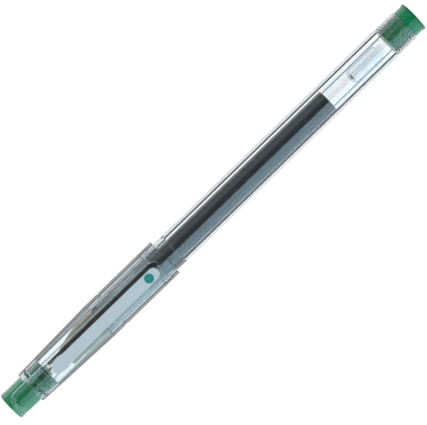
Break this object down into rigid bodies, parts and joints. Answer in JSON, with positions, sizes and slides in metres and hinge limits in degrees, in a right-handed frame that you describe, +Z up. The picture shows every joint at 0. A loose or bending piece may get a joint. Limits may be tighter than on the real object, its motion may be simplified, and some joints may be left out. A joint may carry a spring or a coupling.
{
  "type": "gel pen",
  "caption": "Capped clear plastic gel pen with a needle tip, a sprung cap clip, a sliding refill and green end plugs.",
  "frame": {"origin": "under the middle of the pen's length, on the surface that the capped pen lies on", "axes": "+X along the pen from the cap's closed end to the tail plug, +Z up through the clip, +Y across the clip"},
  "size_m": [0.142, 0.0108, 0.0132],
  "materials": {
    "clear_barrel": "clear injection-moulded polystyrene, polished",
    "beige_nose": "beige moulded plastic, satin gloss",
    "clear_cap": "clear injection-moulded polystyrene, polished",
    "green_cap_plug": "translucent green moulded plastic, glossy",
    "tip_seal_rubber": "soft pale elastomer",
    "clear_clip": "clear injection-moulded polystyrene, polished",
    "label_film": "pale blue-grey printed film with a green dot",
    "needle_steel": "drawn stainless tube",
    "ball_carbide": "polished carbide ball",
    "tip_cone_metal": "turned nickel silver",
    "spring_steel": "drawn stainless wire",
    "beige_holder": "beige moulded plastic",
    "clear_refill": "clear extruded polypropylene tube",
    "gel_ink": "dark green-black gel ink",
    "clear_follower": "clear grease",
    "clear_float": "clear moulded plastic",
    "green_tail_plug": "translucent green moulded plastic, glossy"
  },
  "bodies": {
    "barrel": {"barrel": "clear_barrel", "nose_cone": "beige_nose"},
    "cap": {"cap_shell": "clear_cap", "cap_end_plug": "green_cap_plug", "tip_seal": "tip_seal_rubber"},
    "clip": {"clip_arm": "clear_clip", "clip_label": "label_film"},
    "refill": {"refill_tube": "clear_refill", "tip_holder": "beige_holder", "tip_cone": "tip_cone_metal", "needle_tube": "needle_steel", "writing_ball": "ball_carbide", "ball_spring": "spring_steel", "ink_column": "gel_ink"},
    "follower": {"follower_gel": "clear_follower", "float": "clear_float"},
    "tail_plug": {"tail_plug": "green_tail_plug"}
  },
  "joints": [
    {"name": "cap_slide", "type": "slide", "parent": "barrel", "child": "cap", "axis": [-1, 0, 0], "range_m": [0, 0.045]},
    {"name": "clip_flex", "type": "hinge", "parent": "cap", "child": "clip", "pos_m": [-0.05805, 0, 0.01237], "axis": [0, -1, 0], "range_deg": [0, 6], "stiffness_Nm_per_rad": 1},
    {"name": "refill_slide", "type": "slide", "parent": "barrel", "child": "refill", "axis": [1, 0, 0], "range_m": [0, 0.128]},
    {"name": "tail_plug_pull", "type": "slide", "parent": "refill", "child": "tail_plug", "axis": [1, 0, 0], "range_m": [0, 0.012]},
    {"name": "follower_slide", "type": "slide", "parent": "refill", "child": "follower", "axis": [-1, 0, 0], "range_m": [0, 0.06], "deforming": ["ink_column"]}
  ]
}
